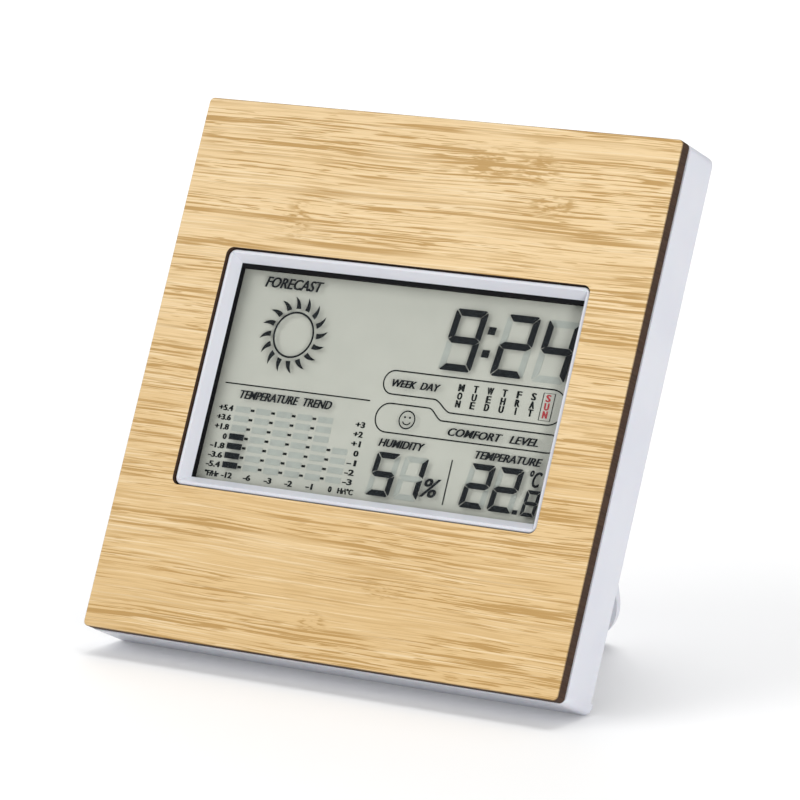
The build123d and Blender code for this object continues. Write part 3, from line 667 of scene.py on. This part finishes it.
# frames, dividers and the days of the week
line_width = 0.31
printed.ribbon([(-43.75, -1.94), (-4.55, -1.94)], 0.3)
printed.ribbon([(20.0, -23.0), (20.0, -12.8)], 0.3)
day_frame = arc(0.5, 2.85, 2.7, 90, 270) + [(11.8, 0.15)] + slide_curve(11.8, 0.15, 16.7, -2.45)
day_frame += [(16.7, -2.45)] + arc(41.3, 1.55, 4.0, -90, 90)
printed.ribbon(day_frame, line_width, closed=True)
comfort_frame = arc(1.1, -5.25, 3.3, 90, 270) + arc(43.2, -6.5, 2.05, -90, 90) + [(15.0, -4.45)]
comfort_frame += slide_curve(15.0, -4.45, 11.0, -1.95) + [(11.0, -1.95)]
printed.ribbon(comfort_frame, line_width, closed=True)
red_print = Drawing(print_depth, print_shift)
first_day_x = 18.1
day_pitch = 3.73
for index, day in enumerate(("MON", "TUE", "WED", "THU", "FRI", "SAT", "SUN")):
    middle = first_day_x + day_pitch * index
    drawing = red_print if day == "SUN" else printed
    for letter, low in zip(day, (2.65, 0.75, -1.05)):
        half = {"I": 0.1, "M": 0.68, "W": 0.74}.get(letter, 0.55)
        drawing.words(letter, middle - half, middle + half, low, low + 1.65, weight=0.015, double=0.2)
printed.ribbon(box_outline(39.1, 42.0, -1.55, 4.6), 0.2, closed=True)


def ink(name, colour):
    """Liquid crystal or print: nearly matt, a little uneven in tone."""
    material, tree, shader = new_material(name)
    x, y, _ = face_position(tree)
    cloud = stretched_noise(tree, x, y, 2.5, 2.5, detail=3.0, seed=4.0)
    lighter = [part * 1.12 + 0.001 for part in colour]
    tone = blend_colours(tree, ramp(tree, cloud, 0.3, 0.8), (*colour, 1), (*lighter, 1))
    tree.links.new(tone, shader.inputs["Base Color"])
    rough = math(tree, "ADD", math(tree, "MULTIPLY", cloud, 0.2), 0.45)
    tree.links.new(rough, shader.inputs["Roughness"])
    shader.inputs["Specular IOR Level"].default_value = 0.05
    return material


for drawing, piece_name, ink_name, colour in (
    (lit, "display_segments", "lit_crystal", (0.004, 0.006, 0.008)),
    (unlit, "display_unlit_segments", "unlit_crystal", (0.375, 0.405, 0.370)),
    (printed, "display_print", "black_print", (0.005, 0.006, 0.006)),
    (red_print, "display_red_print", "red_print", (0.42, 0.05, 0.06)),
):
    drawing.finish(piece_name, "housing", ink(ink_name, colour), "lcd_glass")


# Behind the display: a white moulded frame holds it to the case, and two strips of striped rubber, the zebra
# strips, carry its signals from the glass to the board.
retainer, shader = moulded("retainer_abs", (0.70, 0.70, 0.69), gloss=0.5, grain=0.5)
dress("lcd_retainer", retainer)

zebra, tree, shader = new_material("zebra_rubber")
x, _, _ = face_position(tree)
across = add_node(tree, "ShaderNodeCombineXYZ", [("X", x)]).outputs[0]
stripes = add_node(tree, "ShaderNodeTexWave", [("Vector", across), ("Scale", 2.2), ("Distortion", 0.0)])
layers = ramp(tree, stripes.outputs["Fac"], 0.4, 0.6)
rubber_colour = blend_colours(tree, layers, (0.38, 0.22, 0.30, 1), (0.02, 0.02, 0.02, 1))
tree.links.new(rubber_colour, shader.inputs["Base Color"])
rough = math(tree, "ADD", math(tree, "MULTIPLY", stripes.outputs["Fac"], 0.2), 0.6)
tree.links.new(rough, shader.inputs["Roughness"])
dress("zebra_strips", zebra)


# Circuit board: glass-fibre laminate under green solder mask, with copper tracks that show through as paler
# lines. A drop of black resin covers the driver chip, and small parts are soldered round it.
board, tree, shader = new_material("circuit_board")
x, y, _ = face_position(tree)
crossing = add_node(tree, "ShaderNodeCombineXYZ", [("X", x), ("Y", y)]).outputs[0]
layout = [("Vector", crossing), ("Scale", 1.0), ("Brick Width", 9.0), ("Row Height", 1.1)]
layout += [("Mortar Size", 0.12), ("Mortar Smooth", 0.2)]
tracks = add_node(tree, "ShaderNodeTexBrick", layout)
pads = add_node(tree, "ShaderNodeTexVoronoi", [("Vector", crossing), ("Scale", 0.35), ("Randomness", 0.7)])
pad_mask = ramp(tree, pads.outputs["Distance"], 0.16, 0.13)
mask_colour = blend_colours(tree, tracks.outputs["Fac"], (0.012, 0.115, 0.045, 1), (0.045, 0.24, 0.09, 1))
board_colour = blend_colours(tree, pad_mask, mask_colour, (0.62, 0.60, 0.55, 1))
tree.links.new(board_colour, shader.inputs["Base Color"])
rough = math(tree, "ADD", math(tree, "MULTIPLY", pad_mask, -0.05), 0.3)
tree.links.new(rough, shader.inputs["Roughness"])
tree.links.new(pad_mask, shader.inputs["Metallic"])
copper = math(tree, "ADD", tracks.outputs["Fac"], pad_mask)
bump = add_node(tree, "ShaderNodeBump", [("Height", copper), ("Strength", 0.4), ("Distance", 0.00003)])
tree.links.new(bump.outputs["Normal"], shader.inputs["Normal"])
dress("main_board", board)

for node_name, material_name, colour, gloss, grain in (
    ("driver_chip", "chip_resin", (0.012, 0.012, 0.013), 0.28, 0.6),
    ("board_components", "ceramic_parts", (0.20, 0.13, 0.08), 0.45, 0.4),
    ("humidity_sensor", "sensor_case", (0.80, 0.80, 0.76), 0.5, 0.3),
    ("temperature_sensor", "sensor_bead", (0.02, 0.03, 0.025), 0.25, 0.2),
    ("switch_bodies", "switch_nylon", (0.025, 0.025, 0.027), 0.5, 0.4),
    ("sounder_ceramic", "fired_ceramic", (0.72, 0.70, 0.62), 0.55, 0.8),
):
    material, shader = moulded(material_name, colour, gloss=gloss, grain=grain)
    dress(node_name, material)


# Metal pieces: plated screws, the crystal's can, the sounder's brass disc and the nickel battery contacts.
# Each is rolled or turned, so it has fine scratches and slightly dull patches.
metal_tree, given, result = new_group(
    "handled_metal",
    {"Colour": (0.7, 0.7, 0.7, 1.0), "Polish": 0.25},
    {"Color": "NodeSocketColor", "Roughness": "NodeSocketFloat", "Height": "NodeSocketFloat"},
)
x, y, _ = face_position(metal_tree)
scratches = stretched_noise(metal_tree, x, y, 3.0, 0.06, detail=3.0, seed=9.1)
patches = stretched_noise(metal_tree, x, y, 2.2, 1.8, detail=3.0, seed=3.7)
dull = ramp(metal_tree, patches, 0.4, 0.75)
duller = blend_colours(metal_tree, 1.0, given["Colour"], (0.78, 0.76, 0.72, 1), mode="MULTIPLY")
metal_tree.links.new(blend_colours(metal_tree, dull, given["Colour"], duller), result["Color"])
dulled = math(metal_tree, "ADD", given["Polish"], math(metal_tree, "MULTIPLY", dull, 0.15))
scratched = math(metal_tree, "ADD", dulled, math(metal_tree, "MULTIPLY", scratches, 0.1))
metal_tree.links.new(scratched, result["Roughness"])
metal_tree.links.new(scratches, result["Height"])


def metal(name, colour, polish):
    """Bare or plated metal from the handled group."""
    material, tree, shader = new_material(name)
    skin = add_node(tree, "ShaderNodeGroup", node_tree=metal_tree)
    skin.inputs["Colour"].default_value = (*colour, 1)
    skin.inputs["Polish"].default_value = polish
    relief = [("Height", skin.outputs["Height"]), ("Strength", 0.25), ("Distance", 0.00002)]
    bump = add_node(tree, "ShaderNodeBump", relief)
    for output, socket in (("Color", "Base Color"), ("Roughness", "Roughness")):
        tree.links.new(skin.outputs[output], shader.inputs[socket])
    tree.links.new(bump.outputs["Normal"], shader.inputs["Normal"])
    shader.inputs["Metallic"].default_value = 1.0
    return material


zinc = metal("zinc_plate", (0.62, 0.62, 0.64), 0.28)
nickel = metal("nickel_plate", (0.70, 0.67, 0.61), 0.18)
dress("board_screws", zinc)
dress("case_screws", zinc)
dress("clock_crystal", nickel)
dress("battery_contacts", nickel)
dress("sounder_disc", metal("rolled_brass", (0.78, 0.57, 0.27), 0.24))


# Battery springs: tapered coils of plated steel wire on the flat contacts, wound close at the wide end. Each
# stands on the contact at its cell's flat end.
low, high = (Vector(corner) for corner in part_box("battery_springs"))
spring_centre = (low + high) / 2
spring_reach = (high.x - low.x) / 2
spring_base = 3.6 * mm
spring_tip = 2.6 * mm
spring_wire = 0.3 * mm
spring_length = 6.7 * mm
spring_turns = 6
turn_steps = 16
crowding_power = 1.3
cell_pitch = (high.z - low.z - 2 * spring_base) / face_up.z
for spring_name, level, side in (("lower_spring", -0.5, 1), ("upper_spring", 0.5, -1)):
    curve = bpy.data.curves.new(spring_name, "CURVE")
    curve.dimensions = "3D"
    curve.bevel_depth = spring_wire
    curve.bevel_resolution = 3
    curve.use_fill_caps = True
    coil = curve.splines.new("POLY")
    steps = spring_turns * turn_steps
    coil.points.add(steps)
    seat = spring_centre + face_up * cell_pitch * level + face_right * spring_reach * side
    for step in range(steps + 1):
        share = step / steps
        radius = spring_base - spring_wire + (spring_tip - spring_base) * share
        advance = spring_wire + (spring_length - 2 * spring_wire) * share ** crowding_power
        angle = 2 * pi * step / turn_steps
        around = face_up * cos(angle) + face_out * sin(angle)
        coil.points[step].co = (*(seat - face_right * side * advance + around * radius), 1)
    spring = bpy.data.objects.new(spring_name, curve)
    scene.collection.objects.link(spring)
    curve.materials.append(nickel)
    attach(spring, "housing")
    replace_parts(spring, "battery_springs")


# Two AAA cells: steel cans in a printed film sleeve, dark along the body with a copper-coloured band at the
# raised end. One faces each way.
low, high = (Vector(corner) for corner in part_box("battery_cells"))
cells_middle = (low + high) / 2
middle_y = (cells_middle - face_centre).dot(face_up) / mm
cell_reach = (high.x - low.x) / 2 / mm
button_bare = 1.5
copper_end = 13.2
line_end = 14.2
sleeve_end = 45.1
edge_blur = 0.2
cells, tree, shader = new_material("cell_sleeve")
x, y, _ = face_position(tree)
upper = math(tree, "SUBTRACT", math(tree, "MULTIPLY", math(tree, "GREATER_THAN", y, middle_y), 2.0), 1.0)
towards_button = math(tree, "MULTIPLY", x, upper)


def beyond(distance, way=1):
    """Mask of the cell from its button end to this far behind it; a way of -1 gives the rest instead."""
    mark = cell_reach - distance
    return ramp(tree, towards_button, mark, mark + way * edge_blur)


scuffs = stretched_noise(tree, x, y, 3.0, 0.4, detail=4.0, seed=1.2)
scuff_mask = ramp(tree, scuffs, 0.3, 0.75)
copper_band = beyond(copper_end)
sleeve = blend_colours(tree, scuff_mask, (0.012, 0.014, 0.018, 1), (0.030, 0.033, 0.040, 1))
sleeve = blend_colours(tree, beyond(line_end), sleeve, (0.75, 0.75, 0.72, 1))
sleeve = blend_colours(tree, copper_band, sleeve, (0.62, 0.29, 0.12, 1))
bare = math(tree, "MAXIMUM", beyond(button_bare), beyond(sleeve_end, way=-1))
cell_colour = blend_colours(tree, bare, sleeve, (0.68, 0.67, 0.64, 1))
tree.links.new(cell_colour, shader.inputs["Base Color"])
shiny = math(tree, "MAXIMUM", bare, math(tree, "MULTIPLY", copper_band, 0.8))
tree.links.new(shiny, shader.inputs["Metallic"])
rough = math(tree, "ADD", math(tree, "MULTIPLY", scuffs, 0.2), 0.18)
tree.links.new(rough, shader.inputs["Roughness"])
dress("battery_cells", cells)


# Wires: soft PVC insulation over fine strands, red and black. They are soldered between the contacts or the
# sounder and the board.
for colour_name, colour in (("red", (0.50, 0.012, 0.012)), ("black", (0.014, 0.014, 0.015))):
    insulation, shader = moulded(f"{colour_name}_insulation", colour, gloss=0.38, grain=0.2)
    dress(f"battery_wire_{colour_name}", insulation)
    dress(f"sounder_wire_{colour_name}", insulation)


# Buttons: six satin caps in light grey ABS, each pushing a black nylon plunger. Their uses are moulded as
# raised letters on the back cover under them.
cap_plastic, shader = moulded("button_abs", (0.56, 0.57, 0.59), gloss=0.42, grain=0.6)
plunger_plastic, shader = moulded("plunger_nylon", (0.02, 0.02, 0.022), gloss=0.4, grain=0.4)
cover_back = 15.3
letter_rise = 0.3
letter_sink = 0.01
letter_wide = 1.7
letter_high = 2.2
letter_drop = 5.0


def face_place(node_name):
    """The middle of a node's box as x and y, in the face's millimetres."""
    low, high = (Vector(corner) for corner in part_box(node_name))
    away = ((low + high) / 2 - face_centre) / mm
    return away.dot(face_right), away.dot(face_up)


def raised_drawing(surface_depth):
    """A drawing for letters that stand on a surface at the back."""
    return Drawing(surface_depth + letter_rise / 2 - letter_sink, thick=letter_rise)


cover_lettering = raised_drawing(cover_back)
uses = {
    "mode": "MODE", "set": "SET", "up": "UP", "down": "DOWN", "unit": "\u00b0C/\u00b0F", "alarm": "ALARM",
}
for key, use in uses.items():
    dress(f"{key}_button", cap_plastic)
    dress(f"{key}_plunger", plunger_plastic)
    x, y = face_place(f"{key}_button")
    half = letter_wide * len(use) / 2
    top = y - letter_drop
    cover_lettering.words(use, x + half, x - half, top - letter_high, top, weight=0.02)
cover_lettering.finish("cover_lettering", "housing", white_abs, "white_abs")


# Door lettering: a word and an arrow, moulded on the battery door in the same plastic. They slide with it and
# show the way.
door_back = 17.9
door_lettering = raised_drawing(door_back)
x, y = face_place("battery_door")
door_lettering.words("OPEN", x + 4.6, x - 4.6, y + 0.6, y + 3.4, weight=0.02)
door_lettering.plate([(x - 1.8, y + 4.8), (x + 1.8, y + 4.8), (x, y + 7.2)])
door_lettering.finish("door_lettering", "door", white_abs, "white_abs")
